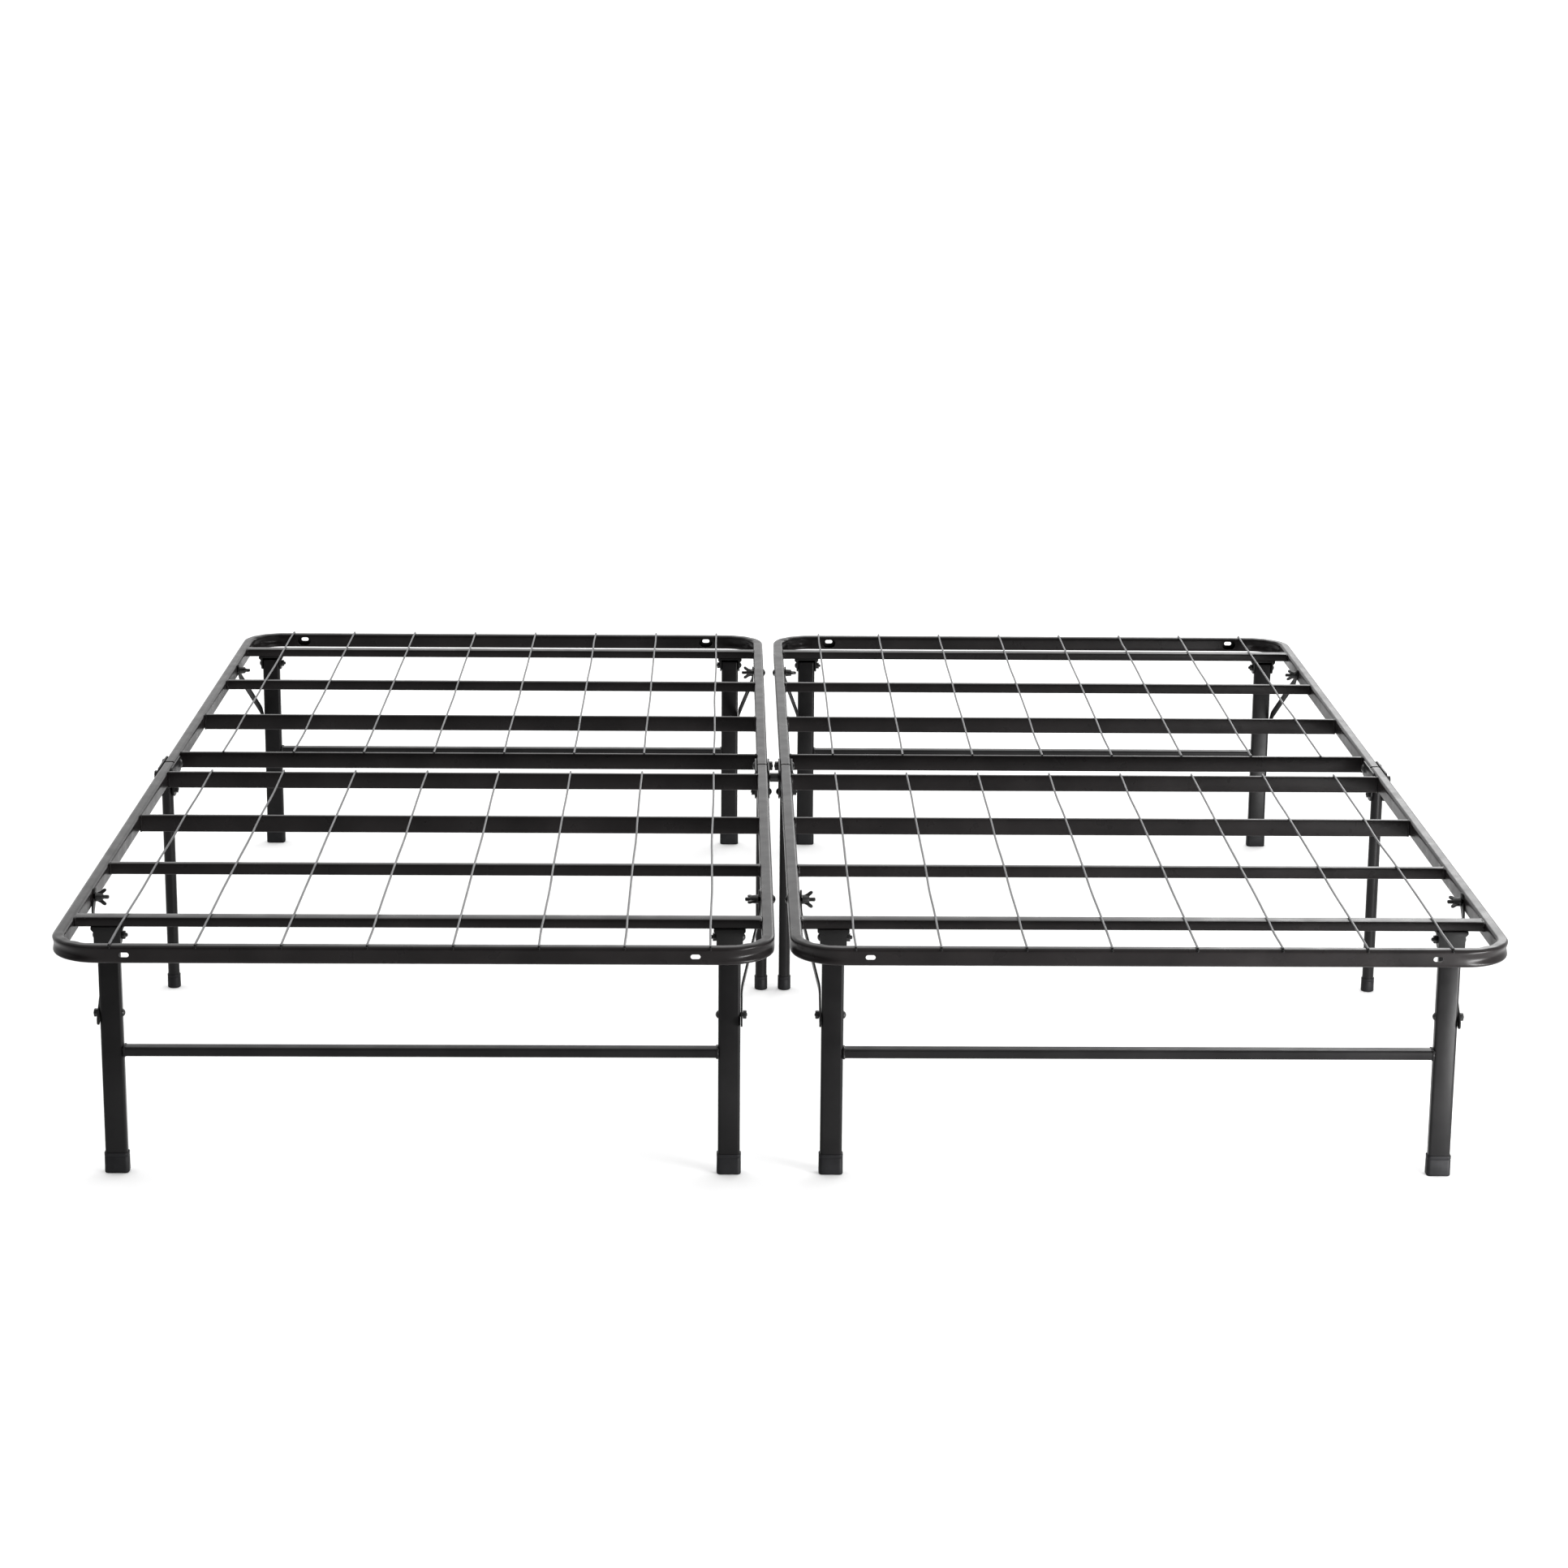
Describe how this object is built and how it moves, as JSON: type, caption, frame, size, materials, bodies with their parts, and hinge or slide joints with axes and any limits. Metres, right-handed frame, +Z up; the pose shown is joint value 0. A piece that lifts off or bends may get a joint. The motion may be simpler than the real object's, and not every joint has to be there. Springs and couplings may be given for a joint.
{
  "type": "folding platform bed frame",
  "caption": "King-size bi-fold steel platform bed frame: two slatted halves side by side with wire mesh tops, folding braced legs and mid-length fold plates.",
  "frame": {"origin": "middle of the footprint, on the floor under the middle of the bed", "axes": "+X to the right across the bed, +Y along the bed from foot to head, +Z up"},
  "size_m": [1.9388, 2.0232, 0.365],
  "materials": {
    "frame_tube": "semi-gloss black powder coat",
    "leg_tube": "semi-gloss black powder coat",
    "sheet_steel": "semi-gloss black powder coat",
    "fastener": "black oxide",
    "wing_nut": "black oxide",
    "mesh_wire": "bright zinc plated",
    "foot_cap": "matte moulded"
  },
  "bodies": {
    "foot_frame": {"foot_left_rail": "frame_tube", "foot_right_rail": "frame_tube", "foot_left_slats": "frame_tube", "foot_right_slats": "frame_tube", "foot_left_wires": "mesh_wire", "foot_right_wires": "mesh_wire", "foot_leg_brackets": "sheet_steel", "foot_leg_bolts": "fastener", "foot_carriage_bolts": "fastener", "foot_fold_bolts": "fastener", "coupling_sleeve": "fastener", "mid_leg_hinges": "sheet_steel"},
    "left_fold_link": {"left_fold_plates": "sheet_steel", "left_fold_bolts": "fastener"},
    "head_left_frame": {"head_left_rail": "frame_tube", "head_left_slats": "frame_tube", "head_left_wires": "mesh_wire", "head_left_leg_brackets": "sheet_steel", "head_left_leg_bolts": "fastener", "head_left_carriage_bolts": "fastener"},
    "right_fold_link": {"right_fold_plates": "sheet_steel", "right_fold_bolts": "fastener"},
    "head_right_frame": {"head_right_rail": "frame_tube", "head_right_slats": "frame_tube", "head_right_wires": "mesh_wire", "head_right_leg_brackets": "sheet_steel", "head_right_leg_bolts": "fastener", "head_right_carriage_bolts": "fastener"},
    "foot_left_legs": {"foot_left_leg_frame": "leg_tube", "foot_left_caps": "foot_cap", "foot_left_brace_bolts": "fastener"},
    "foot_left_brace_pair": {"foot_left_braces": "sheet_steel"},
    "foot_left_wing_outer": {"foot_left_wing_nut_outer": "wing_nut"},
    "foot_left_wing_inner": {"foot_left_wing_nut_inner": "wing_nut"},
    "foot_right_legs": {"foot_right_leg_frame": "leg_tube", "foot_right_caps": "foot_cap", "foot_right_brace_bolts": "fastener"},
    "foot_right_brace_pair": {"foot_right_braces": "sheet_steel"},
    "foot_right_wing_outer": {"foot_right_wing_nut_outer": "wing_nut"},
    "foot_right_wing_inner": {"foot_right_wing_nut_inner": "wing_nut"},
    "head_left_legs": {"head_left_leg_frame": "leg_tube", "head_left_caps": "foot_cap", "head_left_brace_bolts": "fastener"},
    "head_left_brace_pair": {"head_left_braces": "sheet_steel"},
    "head_left_wing_outer": {"head_left_wing_nut_outer": "wing_nut"},
    "head_left_wing_inner": {"head_left_wing_nut_inner": "wing_nut"},
    "head_right_legs": {"head_right_leg_frame": "leg_tube", "head_right_caps": "foot_cap", "head_right_brace_bolts": "fastener"},
    "head_right_brace_pair": {"head_right_braces": "sheet_steel"},
    "head_right_wing_outer": {"head_right_wing_nut_outer": "wing_nut"},
    "head_right_wing_inner": {"head_right_wing_nut_inner": "wing_nut"},
    "left_mid_outer": {"left_mid_leg_outer": "leg_tube", "left_mid_cap_outer": "foot_cap"},
    "left_mid_inner": {"left_mid_leg_inner": "leg_tube", "left_mid_cap_inner": "foot_cap"},
    "right_mid_outer": {"right_mid_leg_outer": "leg_tube", "right_mid_cap_outer": "foot_cap"},
    "right_mid_inner": {"right_mid_leg_inner": "leg_tube", "right_mid_cap_inner": "foot_cap"}
  },
  "joints": [
    {"name": "left_fold", "type": "hinge", "parent": "foot_frame", "child": "left_fold_link", "pos_m": [-0.485, -0.038, 0.35], "axis": [1, 0, 0], "range_deg": [0, 88]},
    {"name": "left_head_fold", "type": "hinge", "parent": "left_fold_link", "child": "head_left_frame", "pos_m": [-0.485, 0.038, 0.35], "axis": [1, 0, 0], "range_deg": [0, 88]},
    {"name": "right_fold", "type": "hinge", "parent": "foot_frame", "child": "right_fold_link", "pos_m": [0.485, -0.038, 0.35], "axis": [1, 0, 0], "range_deg": [0, 88]},
    {"name": "right_head_fold", "type": "hinge", "parent": "right_fold_link", "child": "head_right_frame", "pos_m": [0.485, 0.038, 0.35], "axis": [1, 0, 0], "range_deg": [0, 88]},
    {"name": "foot_left_leg_fold", "type": "hinge", "parent": "foot_frame", "child": "foot_left_legs", "pos_m": [-0.485, -0.867, 0.335], "axis": [1, 0, 0], "range_deg": [0, 90]},
    {"name": "foot_left_brace_fold", "type": "hinge", "parent": "foot_left_legs", "child": "foot_left_brace_pair", "pos_m": [-0.485, -0.867, 0.226], "axis": [1, 0, 0], "range_deg": [-135, 0]},
    {"name": "foot_left_wing_outer_spin", "type": "hinge", "parent": "foot_frame", "child": "foot_left_wing_outer", "pos_m": [-0.925, -0.735, 0.35], "axis": [1, 0, 0], "continuous": true},
    {"name": "foot_left_wing_inner_spin", "type": "hinge", "parent": "foot_frame", "child": "foot_left_wing_inner", "pos_m": [-0.045, -0.735, 0.35], "axis": [1, 0, 0], "continuous": true},
    {"name": "foot_right_leg_fold", "type": "hinge", "parent": "foot_frame", "child": "foot_right_legs", "pos_m": [0.485, -0.867, 0.335], "axis": [1, 0, 0], "range_deg": [0, 90]},
    {"name": "foot_right_brace_fold", "type": "hinge", "parent": "foot_right_legs", "child": "foot_right_brace_pair", "pos_m": [0.485, -0.867, 0.226], "axis": [1, 0, 0], "range_deg": [-135, 0]},
    {"name": "foot_right_wing_outer_spin", "type": "hinge", "parent": "foot_frame", "child": "foot_right_wing_outer", "pos_m": [0.925, -0.735, 0.35], "axis": [1, 0, 0], "continuous": true},
    {"name": "foot_right_wing_inner_spin", "type": "hinge", "parent": "foot_frame", "child": "foot_right_wing_inner", "pos_m": [0.045, -0.735, 0.35], "axis": [1, 0, 0], "continuous": true},
    {"name": "head_left_leg_fold", "type": "hinge", "parent": "head_left_frame", "child": "head_left_legs", "pos_m": [-0.485, 0.867, 0.335], "axis": [-1, 0, 0], "range_deg": [0, 90]},
    {"name": "head_left_brace_fold", "type": "hinge", "parent": "head_left_legs", "child": "head_left_brace_pair", "pos_m": [-0.485, 0.867, 0.226], "axis": [-1, 0, 0], "range_deg": [-135, 0]},
    {"name": "head_left_wing_outer_spin", "type": "hinge", "parent": "head_left_frame", "child": "head_left_wing_outer", "pos_m": [-0.925, 0.735, 0.35], "axis": [1, 0, 0], "continuous": true},
    {"name": "head_left_wing_inner_spin", "type": "hinge", "parent": "head_left_frame", "child": "head_left_wing_inner", "pos_m": [-0.045, 0.735, 0.35], "axis": [1, 0, 0], "continuous": true},
    {"name": "head_right_leg_fold", "type": "hinge", "parent": "head_right_frame", "child": "head_right_legs", "pos_m": [0.485, 0.867, 0.335], "axis": [-1, 0, 0], "range_deg": [0, 90]},
    {"name": "head_right_brace_fold", "type": "hinge", "parent": "head_right_legs", "child": "head_right_brace_pair", "pos_m": [0.485, 0.867, 0.226], "axis": [-1, 0, 0], "range_deg": [-135, 0]},
    {"name": "head_right_wing_outer_spin", "type": "hinge", "parent": "head_right_frame", "child": "head_right_wing_outer", "pos_m": [0.925, 0.735, 0.35], "axis": [1, 0, 0], "continuous": true},
    {"name": "head_right_wing_inner_spin", "type": "hinge", "parent": "head_right_frame", "child": "head_right_wing_inner", "pos_m": [0.045, 0.735, 0.35], "axis": [1, 0, 0], "continuous": true},
    {"name": "left_mid_outer_fold", "type": "hinge", "parent": "foot_frame", "child": "left_mid_outer", "pos_m": [-0.9515, -0.026, 0.324], "axis": [-1, 0, 0], "range_deg": [0, 90]},
    {"name": "left_mid_inner_fold", "type": "hinge", "parent": "foot_frame", "child": "left_mid_inner", "pos_m": [-0.0185, -0.026, 0.324], "axis": [-1, 0, 0], "range_deg": [0, 90]},
    {"name": "right_mid_outer_fold", "type": "hinge", "parent": "foot_frame", "child": "right_mid_outer", "pos_m": [0.9515, -0.026, 0.324], "axis": [-1, 0, 0], "range_deg": [0, 90]},
    {"name": "right_mid_inner_fold", "type": "hinge", "parent": "foot_frame", "child": "right_mid_inner", "pos_m": [0.0185, -0.026, 0.324], "axis": [-1, 0, 0], "range_deg": [0, 90]}
  ],
  "couplings": [
    {"joint": "left_head_fold", "follows": "left_fold", "ratio": 1},
    {"joint": "right_head_fold", "follows": "right_fold", "ratio": 1},
    {"joint": "foot_left_brace_fold", "follows": "foot_left_leg_fold", "ratio": -1.4801},
    {"joint": "foot_right_brace_fold", "follows": "foot_right_leg_fold", "ratio": -1.4801},
    {"joint": "head_left_brace_fold", "follows": "head_left_leg_fold", "ratio": -1.4801},
    {"joint": "head_right_brace_fold", "follows": "head_right_leg_fold", "ratio": -1.4801}
  ]
}
